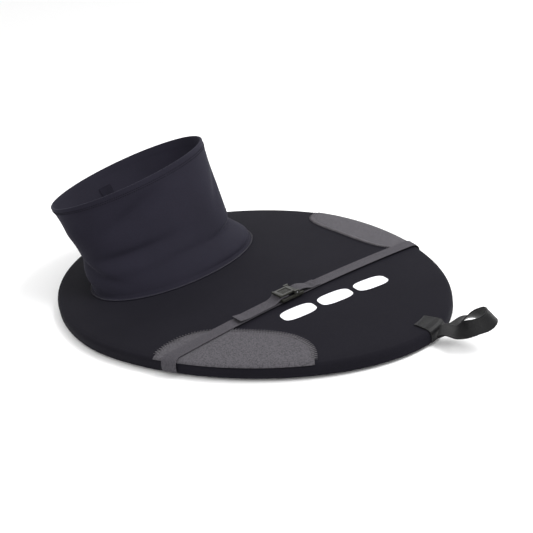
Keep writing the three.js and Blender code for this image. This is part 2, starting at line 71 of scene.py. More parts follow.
TOP_PITCH, TOP_ROLL = 0.16, 0.11
TUNNEL_WALL = 0.0035
WEB_WIDTH, WEB, LAY_GAP = 0.025, 0.0016, 0.0024
STRAP_ANGLE = 0.148
BUCKLE_X, BUCKLE_Y, BUCKLE_BASE, BUCKLE_HEIGHT = 0.195, -0.037, 0.0047, 0.0044
BAR_FAR, BAR_WRAP, TAIL_REACH = 0.0174, 0.0044, 0.104
LOOP_WIDTH, LOOP_OFFSET, LOOP_STRAIGHT = 0.026, 0.014, 0.069
LOOP_PITCH, LOOP_ROLL, LOOP_YAW = 0.41, 0.27, 0.25
LOOP_HINGE, LOOP_ASIDE, LOOP_HEIGHT, LOOP_LIFT, LOOP_TILT = 0.009, 0.014, 0.019, 0.0012, 1.45
SHIFT = BOW_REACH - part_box("deck_panel")[1].x


# ---- Numbers -------------------------------------------------------------------------------------
def mix(low, high, share):
    return low + (high - low) * share


def smooth(value, low, high):
    share = np.clip((np.asarray(value, float) - low) / (high - low), 0, 1)
    return share * share * (3 - 2 * share)


def unit(vectors):
    return vectors / np.maximum(np.linalg.norm(vectors, axis=-1, keepdims=True), 1e-12)


def points(x, y, z):
    return np.stack(np.broadcast_arrays(x, y, z), axis=-1).astype(float)


def turns(count):
    return 2 * math.pi * np.arange(count) / count


def rounded_ends(count, power):
    """Shares from 0 to 1, closer at the ends, and a superellipse's half-height at each, from 0 to 1."""
    share = 0.5 - 0.5 * np.cos(math.pi * np.arange(count + 1) / count)
    return share, (1 - np.abs(2 * share - 1) ** power) ** (1 / power)


def resample(line, step):
    """Points a step apart along a polyline."""
    lengths = np.r_[0, np.cumsum(np.linalg.norm(np.diff(line, axis=0), axis=1))]
    places = np.linspace(0, lengths[-1], max(2, round(lengths[-1] / step) + 1))
    return np.stack([np.interp(places, lengths, line[:, axis]) for axis in range(line.shape[1])], axis=1)


def rounded_line(line, step, passes):
    """A polyline resampled and then softened, with its ends kept."""
    fine = resample(np.asarray(line, float), step)
    for _ in range(passes):
        fine[1:-1] = (fine[:-2] + 2 * fine[1:-1] + fine[2:]) / 4
    return fine


# ---- Meshes --------------------------------------------------------------------------------------
def new_mesh(name, verts, faces, corner_uvs=None):
    """A smooth-shaded object in the row frame, turned so that its faces point out."""
    verts = np.asarray(verts, float) - (SHIFT, 0, 0)
    mesh = bpy.data.meshes.new(name)
    mesh.from_pydata(verts.tolist(), [], faces)
    if corner_uvs is not None:
        layer = mesh.uv_layers.new(name="UVMap")
        layer.data.foreach_set("uv", np.asarray(corner_uvs, float).ravel())
    mesh.polygons.foreach_set("use_smooth", [True] * len(mesh.polygons))
    solid = bmesh.new()
    solid.from_mesh(mesh)
    if solid.calc_volume(signed=True) < 0:
        bmesh.ops.reverse_faces(solid, faces=solid.faces)
    solid.to_mesh(mesh)
    solid.free()
    piece = bpy.data.objects.new(name, mesh)
    bpy.context.scene.collection.objects.link(piece)
    return piece


def grid_faces(rows, columns, wrap_rows):
    """Quads over a grid whose columns always close, with each corner's row and column for its UVs."""
    faces, corners = [], []
    for row in range(rows if wrap_rows else rows - 1):
        after = (row + 1) % rows
        for column in range(columns):
            beside = (column + 1) % columns
            faces.append((row * columns + column, after * columns + column,
                          after * columns + beside, row * columns + beside))
            corners += [(row, column), (row + 1, column), (row + 1, column + 1), (row, column + 1)]
    return faces, corners


def cap_faces(row_start, across, rounds, columns):
    """Closes one end of a sheet: quads between its two skins, and a fan at each rounded edge."""
    top = [row_start + column for column in range(across)]
    low = [row_start + across + rounds + (across - 1 - column) for column in range(across)]
    far = [row_start + across + step for step in range(rounds)]
    near = [row_start + columns - 1 - step for step in range(rounds)]
    faces = [(top[c], top[c + 1], low[c + 1], low[c]) for c in range(across - 1)]
    return faces + [tuple([top[-1], *far, low[-1]]), tuple([low[0], *near[::-1], top[0]])]


def cloth_section(middle, half, wrap, rounds):
    """Each row's closed loop of points: upper skin, far edge, lower skin and near edge."""
    along = np.roll(middle, -1, 0) - np.roll(middle, 1, 0) if wrap else np.gradient(middle, axis=0)
    sideways = np.gradient(middle, axis=1)
    normal = unit(np.cross(along, sideways))

    def edge(column, sign):
        out = unit(sideways[:, column]) * sign
        angle = (math.pi * np.arange(1, rounds + 1) / (rounds + 1))[None, :, None]
        turned = normal[:, None, column] * np.cos(angle) + out[:, None] * np.sin(angle)
        return middle[:, None, column] + half[:, None, column] * turned

    skins = [middle + normal * half, edge(-1, 1), (middle - normal * half)[:, ::-1], edge(0, -1)[:, ::-1]]
    return np.concatenate(skins, axis=1)


def cloth_uvs(middle, loop, corners):
    """UVs in metres: u round the section, v along the sheet."""
    closed = np.concatenate([loop, loop[:, :1]], axis=1)
    u = np.r_[0, np.cumsum(np.linalg.norm(np.diff(closed[len(middle) // 2], axis=0), axis=1))]
    steps = np.linalg.norm(np.roll(middle, -1, 0) - middle, axis=2).mean(axis=1)
    v = np.r_[0, np.cumsum(steps)]
    return [(u[column], v[row]) for row, column in corners]


def cloth(name, middle, thick, wrap=False, rounds=3):
    """A closed sheet round mid-surface points, middle[along][across], with rounded edges."""
    rows, across = middle.shape[:2]
    half = np.broadcast_to(np.asarray(thick) / 2, (rows, across))[..., None]
    loop = cloth_section(middle, half, wrap, rounds)
    columns = loop.shape[1]
    faces, corners = grid_faces(rows, columns, wrap)
    uvs = cloth_uvs(middle, loop, corners)
    if not wrap:
        first = cap_faces(0, across, rounds, columns)
        last = cap_faces((rows - 1) * columns, across, rounds, columns)
        ends = [face[::-1] for face in first] + last
        faces += ends
        uvs += [(0.0, 0.0)] * sum(len(face) for face in ends)
    return new_mesh(name, loop.reshape(-1, 3), faces, uvs)


# ---- Cord and thread -----------------------------------------------------------------------------
TUBE_END = 0.4  # share of a tube's radius at its two ends
STITCH_STEPS = 8  # points to each stitch and the gap after it
STITCH_ARCH = np.array([0, 0.8, 1, 1, 0.8, 0])
STITCH_RADIUS, HEM_STITCH_RADIUS = 0.0004, 0.00045
ANCHOR_STITCH = {"stitch": 0.0028, "gap": 0.0012, "lift": 0.0004}
HEM_STITCH = {"stitch": 0.003, "gap": 0.0014, "lift": 0.0}
TACK_STITCH = {"stitch": 0.0022, "gap": 0.0008, "lift": 0.0003}
OVERLOCK, OVERLOCK_RADIUS = {"width": 0.0090, "pitch": 0.0048, "lift": 0.0019}, 0.00065
FLATLOCK, FLATLOCK_RADIUS = {"width": 0.0030, "pitch": 0.0032, "lift": 0.0002}, 0.00035
THREAD_SIDES, CORD_SIDES, RIDGE_SIDES = 5, 12, 8


def tube_parts(line, radius, sides):
    """Points and faces of a round tube along a line, drawn in at its two ends."""
    tangent = unit(np.gradient(line, axis=0))
    side = unit(np.cross(tangent, (0, 0, 1)))
    rise = np.cross(side, tangent)
    angle = turns(sides)[None, :, None]
    spread = np.full(len(line), radius)
    spread[[0, -1]] = radius * TUBE_END
    ring = side[:, None] * np.cos(angle) + rise[:, None] * np.sin(angle)
    verts = (line[:, None] + ring * spread[:, None, None]).reshape(-1, 3)
    faces, _ = grid_faces(len(line), sides, False)
    last = (len(line) - 1) * sides
    faces += [tuple(range(sides)), tuple(range(last + sides - 1, last - 1, -1))]
    return verts, faces


def tubes(name, lines, radius, sides=6):
    """Many tubes as one mesh, such as a row of stitches."""
    verts, faces, start = [], [], 0
    for line in lines:
        more, quads = tube_parts(line, radius, sides)
        verts.append(more)
        faces += [tuple(index + start for index in face) for face in quads]
        start += len(more)
    return new_mesh(name, np.concatenate(verts), faces)


def stitch_row(line, stitch, gap, lift):
    """Short arched stitches along a line of points on a cloth's face."""
    count = int(np.linalg.norm(np.diff(line, axis=0), axis=1).sum() // (stitch + gap))
    fine = resample(line, (stitch + gap) / STITCH_STEPS)
    arch = STITCH_ARCH[:, None] * np.array([0, 0, lift])
    starts = [STITCH_STEPS * order for order in range(count)]
    return [fine[start:start + len(arch)] + arch for start in starts if start + len(arch) <= len(fine)]


def zigzag(line, width, pitch, lift):
    """A zigzag thread across a line of surface points."""
    fine = resample(line, pitch / 2)
    tangent = unit(np.gradient(fine, axis=0))
    aside = unit(np.cross(tangent, (0, 0, 1)))
    swing = np.where(np.arange(len(fine)) % 2, 0.5, -0.5)[:, None] * width
    return fine + aside * swing + (0, 0, lift)


# ---- The deck's outline and surface --------------------------------------------------------------
SHOULDER_STEPS, WALL_STEPS = 8, 4  # steps round the rim's shoulder, and down the wall below it
WHOLE_DROP = SHOULDER_STEPS + 1 + WALL_STEPS  # rows of points in all of the rim's drop


def reach(x):
    """How far the outline goes from the widest line, on x's side of it."""
    return np.where(np.asarray(x) >= 0, BOW_REACH, STERN_REACH)


def rim_point(turn, inset=0.0):
    """A point of the deck's outline, moved in by an inset along the outline's normal."""
    turn = np.asarray(turn, float)
    c, s = np.cos(turn), np.sin(turn)
    power = 2 / OUTLINE_POWER
    x = reach(c) * np.sign(c) * np.abs(c) ** power
    y = HALF_BEAM * np.sign(s) * np.abs(s) ** power
    nx = np.sign(x) * np.abs(x / reach(x)) ** (OUTLINE_POWER - 1) / reach(x)
    ny = np.sign(y) * np.abs(y / HALF_BEAM) ** (OUTLINE_POWER - 1) / HALF_BEAM
    size = np.hypot(nx, ny)
    return x - inset * nx / size, y - inset * ny / size


def turn_at(x):
    """The rim's turn where its outline is at x, from 0 at the bow to pi at the stern."""
    x = np.asarray(x, float)
    return np.arccos(np.sign(x) * np.abs(x / reach(x)) ** (OUTLINE_POWER / 2))


def deck_height(x, y):
    """Height of the deck's upper face: the rim's, and a low crown inside it."""
    share = np.abs(x / reach(x)) ** OUTLINE_POWER + np.abs(y / HALF_BEAM) ** OUTLINE_POWER
    return RIM_HEIGHT + CROWN * np.maximum(0, 1 - share)


def on_deck(x, y, lift=0.0):
    return points(x, y, deck_height(x, y) + lift)


def rim_drop(turn, offset, foot):
    """Points from the shoulder's inner end down the rim, one row for each turn."""
    turn = np.atleast_1d(turn)[:, None]
    angle = math.pi / 2 * (1 - np.arange(SHOULDER_STEPS + 1) / SHOULDER_STEPS)[None, :]
    radius = SHOULDER + offset
    x, y = rim_point(turn, SHOULDER - radius * np.cos(angle))
    arc = points(x, y, RIM_HEIGHT - SHOULDER + radius * np.sin(angle))
    x, y = rim_point(turn, -offset)
    wall = points(x, y, np.linspace(RIM_HEIGHT - SHOULDER, foot, WALL_STEPS + 1)[None, 1:])
    return np.concatenate([arc, wall], axis=1)


def over_skin(turn, inner_inset, offset, rows, drop):
    """Points over the deck's skin at each turn, from an inner inset to the shoulder and down it."""
    inner_inset = np.broadcast_to(inner_inset, np.shape(turn))
    share = np.arange(rows)[None, :] / rows
    x, y = rim_point(turn[:, None], mix(inner_inset[:, None], SHOULDER, share))
    return np.concatenate([on_deck(x, y, offset), rim_drop(turn, offset, WALL_FOOT)[:, :drop]], axis=1)


def ellipse(ring, turn, grow=0.0):
    return ring["x"] + (ring["a"] + grow) * np.cos(turn), ring["y"] + (ring["b"] + grow) * np.sin(turn)


# ---- Deck, rim and what lies under it ------------------------------------------------------------
DECK_TURNS, DECK_ROWS, RIM_TURNS, HEM_STEPS, CORD_POINTS, GRIP_ROWS = 288, 40, 576, 24, 400, 28
RIPPLE, RIPPLE_WAVES = 0.0004, ((23, 11), (-6, 17))  # its two waves in radians per metre, along x and y
HEM_ROOM = 0.0006  # how far the hem's outer face lies inside the CAD sleeve's
PUCKER, PUCKER_COUNT = 0.0003, 150
CORD_GAP = 0.01  # turn between each end of the cord and the stern
GRIP_INSETS, GRIP_THICK, GRIP_RIB, ROWS_PER_RIB = (0.026, 0.044), 0.0009, 0.0003, 4


def deck_skin():
    """The deck, from the tunnel's hole over the shoulder to the foot of the turned-down wall."""
    turn = turns(DECK_TURNS)[:, None]
    hole_x, hole_y = ellipse(TUNNEL_BASE, turn)
    edge_x, edge_y = rim_point(turn, SHOULDER)
    share = np.arange(DECK_ROWS)[None, :] / DECK_ROWS
    x, y = mix(hole_x, edge_x, share), mix(hole_y, edge_y, share)
    offset = -NEOPRENE / 2
    first, second = (np.sin(by_x * x + by_y * y) for by_x, by_y in RIPPLE_WAVES)
    top = on_deck(x, y, offset + RIPPLE * first * second * np.sin(math.pi * share))
    middle = np.concatenate([top, rim_drop(turn[:, 0], offset, WALL_FOOT)], axis=1)
    return cloth("deck_skin", middle, NEOPRENE, wrap=True)


def rim_roll():
    """The hem folded round the cord, puckered where the elastic gathers it."""
    turn = turns(RIM_TURNS)[:, None]
    sweep = 2 * (math.pi - SLEEVE_SLIT)
    angle = -sweep * np.arange(HEM_STEPS + 1)[None, :] / HEM_STEPS
    pucker = PUCKER * np.sin(PUCKER_COUNT * turn) * np.sin(angle / 2) ** 2
    radius = (SLEEVE_RADIUS + SLEEVE_BORE - HEM_ROOM) / 2 + pucker
    x, y = rim_point(turn, SLEEVE_INSET + radius * np.cos(angle))
    return cloth("rim_roll", points(x, y, SLEEVE_HEIGHT + radius * np.sin(angle)),
                 SLEEVE_RADIUS - SLEEVE_BORE - HEM_ROOM, wrap=True, rounds=2)


def rim_elastic():
    """The cord inside the roll, with its two ends meeting at the stern."""
    turn = np.linspace(math.pi + CORD_GAP, 3 * math.pi - CORD_GAP, CORD_POINTS)
    x, y = rim_point(turn, SLEEVE_INSET)
    return tubes("rim_elastic", [points(x, y, SLEEVE_HEIGHT)], CORD_RADIUS, CORD_SIDES)


def grip_band():
    """The ribbed rubber print under the deck."""
    x, y = rim_point(turns(RIM_TURNS)[:, None], np.linspace(*GRIP_INSETS, GRIP_ROWS)[None, :])
    below = NEOPRENE + 2 * TOUCH + (GRIP_THICK + GRIP_RIB) / 2
    ribs = GRIP_THICK + GRIP_RIB * np.cos(2 * math.pi * np.arange(GRIP_ROWS) / ROWS_PER_RIB)[None, :]
    return cloth("grip_band", on_deck(x, y, -below), ribs, wrap=True)


# ---- Patches -------------------------------------------------------------------------------------
PATCHES = {
    "abrasion_patch_starboard": {"side": -1, "aft": 0.132, "fore": 0.368, "depth": 0.088},
    "abrasion_patch_port": {"side": 1, "aft": -0.038, "fore": 0.246, "depth": 0.062},
}
PATCH_THICK, PATCH_POWER, PATCH_ENDS = 0.0012, 2.6, 0.002  # the last is how deep the two tips are
PATCH_COLUMNS, PATCH_ROWS, PATCH_DROP = 150, 22, 5
ANCHOR_TURN, ANCHOR_HALF_TURN, ANCHOR_INSET, ANCHOR_THICK = 0.06, 0.08, 0.030, 0.0015
ANCHOR_COLUMNS, ANCHOR_ROWS, ANCHOR_RIB = 49, 16, 0.07  # the rib is a share of the thickness
ANCHOR_SEAM, SEAM_SPREAD = (0.027, 0.012), 0.86  # insets of the stitched box's sides, share of the width
SEAM_LONG, SEAM_SHORT = 41, 20  # points along its long and short sides


def patch_columns(side, aft, fore, depth):
    """The turn and the inner inset at each column of a patch."""
    share, belly = rounded_ends(PATCH_COLUMNS, PATCH_POWER)
    return side * turn_at(mix(aft, fore, share)), SHOULDER + mix(PATCH_ENDS, depth, belly)


def abrasion_patch(node):
    turn, inset = patch_columns(**PATCHES[node])
    middle = over_skin(turn, inset, TOUCH + PATCH_THICK / 2, PATCH_ROWS, PATCH_DROP)
    return cloth(node + "_cloth", middle, PATCH_THICK)


def patch_overlock(node):
    """Teeth of thread that reach over the patch's inner edge on to the deck."""
    edge = on_deck(*rim_point(*patch_columns(**PATCHES[node])))
    return tubes(node + "_overlock", [zigzag(edge, **OVERLOCK)], OVERLOCK_RADIUS, THREAD_SIDES)


def anchor_turns(count):
    return np.linspace(-ANCHOR_HALF_TURN, ANCHOR_HALF_TURN, count)


def anchor_patch():
    """The webbing sewn on at the bow, with its ribs running out over the rim."""
    turn = ANCHOR_TURN + anchor_turns(ANCHOR_COLUMNS)
    middle = over_skin(turn, ANCHOR_INSET, TOUCH + ANCHOR_THICK / 2, ANCHOR_ROWS, WHOLE_DROP)
    ribs = ANCHOR_THICK * (1 + ANCHOR_RIB * np.cos(math.pi * np.arange(ANCHOR_COLUMNS)))[:, None]
    return cloth("anchor_webbing", middle, ribs)


def anchor_stitching():
    """A box of stitches inside the anchor's edges."""
    turn = ANCHOR_TURN + anchor_turns(SEAM_LONG) * SEAM_SPREAD
    sides = [(turn, inset) for inset in ANCHOR_SEAM]
    sides += [(np.full(SEAM_SHORT, turn[end]), np.linspace(*ANCHOR_SEAM, SEAM_SHORT)) for end in (0, -1)]
    lines = [on_deck(*rim_point(*side), TOUCH + ANCHOR_THICK) for side in sides]
    rows = [stitch for line in lines for stitch in stitch_row(line, **ANCHOR_STITCH)]
    return tubes("anchor_stitching", rows, STITCH_RADIUS)


# ---- Body tunnel ---------------------------------------------------------------------------------
DECK_AT_TUNNEL = float(deck_height(TUNNEL_BASE["x"], TUNNEL_BASE["y"]))
TUNNEL_TURNS, WALL_ROWS, SEAM_POINTS = 240, 92, 900
FLANGE, FOOT_ARC, FLANGE_THICK, HEM_THICK = 0.0045, 0.003, 0.0013, 0.0047
FLANGE_ROWS, FOOT_ARC_STEPS = 4, 4
FOOT_THICK = 0.8  # share of the wall's thickness where the foot meets the wall
FLANGE_SEAM = 0.8  # where the flat seam lies, as a share of the flange from its inner edge
CREASE_TURN = math.radians(50)  # where the neck over the flare is tightest
# Stretches of the wall, as shares of its height.
WALL_SHARES, HEM_STEP, HEM_SEAMS = (0.028, 0.99), (0.89, 0.93), (0.955, 0.937)
NECK_START, NECK_END, CREASE_END = 0.05, 0.45, 0.21  # where flare becomes tube, and its end at the crease
FOLDS_IN, FOLDS_OUT = (0, 0.06), (0.84, 0.97)  # where the folds set in and die away
SETTLE = (0, 0.3)  # where the wall stops following the deck's crown
FOOT_TAPE, BACK_TAPE = (0.035, 0.085), (0.2, 0.8)
FOOT_TAPE_ROWS, BACK_TAPE_COLUMNS, BACK_TAPE_ROWS = 10, 9, 60
BACK_TAPE_TURN, TAPE_THICK = 0.09, 0.0007  # half its width as a turn
TAPE_CLEAR = 0.0022  # measured level, so it clears the wall where that slopes most
HEM_THREAD_CLEAR, HEM_THREAD_OUT = 0.0001, 0.0003  # along with the wall, and then straight out
# Soft folds of the tunnel wall: where each starts and ends in turn (degrees) and share of the height,
# how wide it is in share of the height, and how far it moves the wall out (metres).
FOLDS = [
    (-84, 0.33, -4, 0.43, 0.055, -0.0063), (-84, 0.22, 10, 0.31, 0.06, 0.0051),
    (-124, 0.36, -58, 0.12, 0.045, -0.0051), (-128, 0.26, -76, 0.05, 0.05, 0.0039),
    (-60, 0.60, -8, 0.86, 0.09, -0.0092), (-110, 0.62, -70, 0.72, 0.12, 0.0050),
    (12, 0.20, 78, 0.19, 0.05, -0.0087), (-16, 0.10, 84, 0.09, 0.06, 0.0069),
    (34, 0.50, 66, 0.76, 0.10, -0.0033), (116, 0.22, 178, 0.30, 0.06, -0.0054),
    (126, 0.34, 214, 0.40, 0.06, 0.0051), (150, 0.50, 226, 0.46, 0.05, -0.0051),
    (170, 0.62, 230, 0.56, 0.07, 0.0036), (196, 0.22, 240, 0.18, 0.05, -0.0045),
]
FOLD_REACH = 1.35  # a fold dies away at this many of its half-lengths from its middle


def fold_relief(turn, share):
    """How far the folds move the wall out at each turn and share of its height."""
    degrees = np.degrees(turn)
    relief = np.zeros(np.broadcast(turn, share).shape)
    for first, low, last, high, width, depth in FOLDS:
        middle, half_length = (first + last) / 2, (last - first) / 2
        off = (degrees - middle + 180) % 360 - 180
        line = mix((low + high) / 2, high, off / half_length)
        fade = smooth(1 - np.abs(off) / (FOLD_REACH * half_length), 0, 1)
        relief += depth * fade * np.exp(-(((share - line) / width) ** 2))
    return relief


def wall_point(turn, share, grow=0.0):
    """A point of the tunnel's wall, from the flare's ring at the deck to the leaning tube."""
    turn, share = np.broadcast_arrays(np.asarray(turn, float), np.asarray(share, float))
    flare = TUNNEL_BASE | {key: mix(TUNNEL_BASE[key], TUNNEL_TOP[key], share) for key in "xy"}
    tube = {key: mix(TUBE_BASE[key], TUNNEL_TOP[key], share) for key in "xyab"}
    flare_x, flare_y = ellipse(flare, turn, TUNNEL_WALL / 2)
    tube_x, tube_y = ellipse(tube, turn, -TUNNEL_WALL / 2)
    crease = 0.5 + 0.5 * np.cos(turn - CREASE_TURN)
    neck = smooth(share, NECK_START, mix(NECK_END, CREASE_END, crease))
    push = grow + fold_relief(turn, share) * smooth(share, *FOLDS_IN) * (1 - smooth(share, *FOLDS_OUT))
    x = mix(flare_x, tube_x, neck) + push * np.cos(turn)
    y = mix(flare_y, tube_y, neck) + push * np.sin(turn)
    tilt = TOP_PITCH * (x - tube["x"]) + TOP_ROLL * (y - tube["y"])
    settle = (deck_height(x, y) - DECK_AT_TUNNEL) * (1 - smooth(share, *SETTLE))
    return points(x, y, mix(DECK_AT_TUNNEL, TUNNEL_TOP["z"], share) + share ** 2 * tilt + settle)


def tunnel_foot(turn):
    """Points of the flange on the deck and of the small arc where it turns up."""
    angle = np.linspace(0, math.pi / 2, FOOT_ARC_STEPS + 1)[1:-1]
    grow = np.r_[np.linspace(FLANGE + FOOT_ARC, FOOT_ARC, FLANGE_ROWS), FOOT_ARC * (1 - np.sin(angle))]
    rise = np.r_[np.zeros(FLANGE_ROWS), FOOT_ARC * (1 - np.cos(angle))]
    x, y = ellipse(TUNNEL_BASE, turn[:, None], TUNNEL_WALL / 2 + grow)
    return on_deck(x, y, TOUCH + FLANGE_THICK / 2 + rise)


def tunnel_sheet():
    """The whole tunnel as one cloth, from its flange to the hem."""
    turn = turns(TUNNEL_TURNS)
    share = np.linspace(*WALL_SHARES, WALL_ROWS)
    foot = tunnel_foot(turn)
    middle = np.concatenate([foot, wall_point(turn[:, None], share[None, :])], axis=1)
    foot_thick = np.linspace(FLANGE_THICK, TUNNEL_WALL * FOOT_THICK, foot.shape[1])
    thick = np.r_[foot_thick, mix(TUNNEL_WALL, HEM_THICK, smooth(share, *HEM_STEP))]
    return cloth("body_tunnel", middle, thick[None, :], wrap=True)


def hem_stitching():
    """Two needle rows below the tunnel's upper edge."""
    turn = np.linspace(0, 2 * math.pi, SEAM_POINTS)
    out = HEM_THREAD_OUT * points(np.cos(turn), np.sin(turn), 0)
    lines = [wall_point(turn, share, HEM_THICK / 2 + HEM_THREAD_CLEAR) + out for share in HEM_SEAMS]
    rows = [stitch for line in lines for stitch in stitch_row(line, **HEM_STITCH)]
    return tubes("hem_stitching", rows, HEM_STITCH_RADIUS)


def base_seam():
    """The flat seam on the flange, a zigzag round the tunnel's foot."""
    turn = np.linspace(0, 2 * math.pi, SEAM_POINTS)
    x, y = ellipse(TUNNEL_BASE, turn, TUNNEL_WALL / 2 + FOOT_ARC + FLANGE * FLANGE_SEAM)
    line = on_deck(x, y, TOUCH + FLANGE_THICK)
    return tubes("base_seam_thread", [zigzag(line, **FLATLOCK)], FLATLOCK_RADIUS, THREAD_SIDES)


def tunnel_tapes():
    """The bonded tapes inside: one round the foot, one up the back seam."""
    inside = -TUNNEL_WALL / 2 - TAPE_CLEAR
    foot_share = np.linspace(*FOOT_TAPE, FOOT_TAPE_ROWS)[None, :]
    foot = wall_point(turns(TUNNEL_TURNS)[:, None], foot_share, inside)
    back_turn = math.pi + np.linspace(-BACK_TAPE_TURN, BACK_TAPE_TURN, BACK_TAPE_COLUMNS)[None, :]
    back = wall_point(back_turn, np.linspace(*BACK_TAPE, BACK_TAPE_ROWS)[:, None], inside)
    return cloth("base_binding", foot, TAPE_THICK, wrap=True), cloth("back_seam_tape", back, TAPE_THICK)


# ---- Cross strap ---------------------------------------------------------------------------------
ALONG = np.array([math.sin(STRAP_ANGLE), math.cos(STRAP_ANGLE)])  # to port
ACROSS = np.array([ALONG[1], -ALONG[0]])  # to the bow
# Heights of the webbing's middle over the deck: one layer, a second on it, and over the buckle's frame.
LIE = LAY_GAP + WEB / 2
LIE_TWICE = LAY_GAP + 1.5 * WEB + TOUCH
OVER_BAR = BUCKLE_BASE + BUCKLE_HEIGHT + 2.5 * TOUCH + WEB / 2
FRAME_MIDDLE = BUCKLE_BASE + BUCKLE_HEIGHT / 2
STRAP_FOOT = 0.008
WEB_POINTS, WEB_RIBS, WEB_RIB_SHARE = 61, 10, 0.07  # points across, ribs, and their share of the thickness
WEB_STEP, WEB_PASSES, WRAP_POINTS, LAID_STEPS = 0.0012, 3, 13, 90  # the last from path's end to shoulder
BISECTIONS = 40
TACKS, TACK_HALF, TACK_POINTS = (0.046, 0.049, 0.056), 0.0105, 30
# Paths of (distance from the buckle, height over the deck).
NEAR_PATH = [(0.007, LIE + 0.0022), (0.010, LIE + 0.0018), (0.015, LIE + 0.0005), (0.021, LIE),
             (0.034, LIE), (0.060, LIE)]
TAIL_PATH = [(0.006, OVER_BAR), (0.015, OVER_BAR), (0.022, OVER_BAR), (0.028, mix(OVER_BAR, LIE_TWICE, 0.6)),
             (0.036, LIE_TWICE), (0.060, LIE_TWICE), (TAIL_REACH - 0.016, LIE_TWICE),
             (TAIL_REACH, LIE_TWICE + 0.003)]


def far_path():
    """From the folded end's free edge, back round the buckle's far bar and out along the deck."""
    angle = np.linspace(math.pi / 2, 1.5 * math.pi, WRAP_POINTS)
    wrap = np.stack([BAR_FAR + BAR_WRAP * np.cos(angle), FRAME_MIDDLE + BAR_WRAP * np.sin(angle)], axis=1)
    over = FRAME_MIDDLE + BAR_WRAP
    fold = [(0.060, LIE_TWICE), (0.042, LIE_TWICE), (0.033, mix(LIE_TWICE, over, 0.6)), (0.025, over)]
    return np.concatenate([fold, wrap, [(0.024, LIE), (0.032, LIE), (0.052, LIE)]])


def strap_place(distance, offset):
    """A place on the strap: a distance from the buckle to port, and an offset to the bow."""
    return (BUCKLE_X + distance * ALONG[0] + offset * ACROSS[0],
            BUCKLE_Y + distance * ALONG[1] + offset * ACROSS[1])


def shoulder_turn(side, offset):
    """The turn at which the strap's strand with this offset reaches the shoulder, by halving."""
    low, high = 0.0, math.pi
    for _ in range(BISECTIONS):
        middle = (low + high) / 2
        x, y = rim_point(side * middle, SHOULDER)
        reached = (x - BUCKLE_X) * ACROSS[0] + (y - BUCKLE_Y) * ACROSS[1]
        low, high = (middle, high) if reached > offset else (low, middle)
    return side * (low + high) / 2


def ribbed(thick):
    """Thickness at each point across webbing, most on its ribs."""
    wave = np.cos(2 * math.pi * WEB_RIBS * np.arange(WEB_POINTS) / (WEB_POINTS - 1))
    return thick * (1 - WEB_RIB_SHARE + WEB_RIB_SHARE * wave)


def to_rim(start, side, offset):
    """One strand's points after its start, straight to the shoulder and down the rim."""
    turn = shoulder_turn(side, offset)
    share = (np.arange(LAID_STEPS) + 1)[:, None] / (LAID_STEPS + 1)
    flat = mix(start, np.array(rim_point(turn, SHOULDER), float), share)
    return np.concatenate([on_deck(flat[:, 0], flat[:, 1], LIE), rim_drop([turn], LIE, STRAP_FOOT)[0]])


def webbing(name, side, path, over_rim):
    """Webbing along a path, to port or starboard, that goes on over the rim or ends with its path."""
    line = rounded_line(path, WEB_STEP, WEB_PASSES)
    columns = []
    for offset in np.linspace(-0.5, 0.5, WEB_POINTS) * (WEB_WIDTH - WEB):
        column = on_deck(*strap_place(side * line[:, 0], offset), line[:, 1])
        if over_rim:
            column = np.concatenate([column, to_rim(column[-1, :2], side, offset)])
        columns.append(column)
    return cloth(name, np.stack(columns, axis=1), ribbed(WEB)[None, :], rounds=2)


def fold_stitching():
    """The bar tacks that close the far strap's fold by the buckle."""
    rows = []
    for distance in TACKS:
        x, y = strap_place(np.full(TACK_POINTS, distance), np.linspace(-TACK_HALF, TACK_HALF, TACK_POINTS))
        rows += stitch_row(on_deck(x, y, LIE_TWICE + WEB / 2), **TACK_STITCH)
    return tubes("fold_stitching", rows, STITCH_RADIUS)


# ---- Buckle: the CAD pieces with their edges rounded ---------------------------------------------
MERGE, FLAT_ANGLE, EDGE_ANGLE, SHADE_ANGLE = 1e-6, math.radians(1), math.radians(32), math.radians(35)
LEVER_TOP, LIP, RECESS_DEPTH = 0.0154, -0.023, 0.0012
RIDGE_HALF, RIDGE_POINTS, RIDGE_RADIUS, RIDGE_SINK = 0.0074, 7, 0.0004, 0.0001
PAD_STARBOARD, PAD_PORT, RIDGE_PITCH = -0.0135, 0.0025, 0.0022
LIP_WIDER, LIP_RIDGE_IN, LIP_RIDGE_PITCH, LIP_RISE = 1.3, 0.0012, 0.0012, 0.0011


def rounded_copy(node, name, radius):
    """A copy of a CAD piece with its coplanar faces joined and its sharp edges rounded."""
    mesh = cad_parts[node].data.copy()
    piece = bpy.data.objects.new(name, mesh)
    bpy.context.scene.collection.objects.link(piece)
    solid = bmesh.new()
    solid.from_mesh(mesh)
    bmesh.ops.remove_doubles(solid, verts=solid.verts, dist=MERGE)
    bmesh.ops.dissolve_limit(solid, angle_limit=FLAT_ANGLE, verts=solid.verts, edges=solid.edges)
    sharp = [edge for edge in solid.edges
             if len(edge.link_faces) == 2 and edge.calc_face_angle(0) > EDGE_ANGLE]
    bmesh.ops.bevel(solid, geom=sharp, offset=radius, segments=3, profile=0.5, affect="EDGES",
                    clamp_overlap=True)
    bmesh.ops.triangulate(solid, faces=solid.faces)
    solid.to_mesh(mesh)
    solid.free()
    mesh.polygons.foreach_set("use_smooth", [True] * len(mesh.polygons))
    mesh.set_sharp_from_angle(angle=SHADE_ANGLE)
    return piece


def buckle_place(x, y, z):
    """A point of the buckle's frame, X across and Y along the strap to port, in the deck's frame."""
    turned_x = BUCKLE_X + x * ACROSS[0] + y * ALONG[0]
    turned_y = BUCKLE_Y + x * ACROSS[1] + y * ALONG[1]
    return points(turned_x, turned_y, float(deck_height(BUCKLE_X, BUCKLE_Y)) + z)


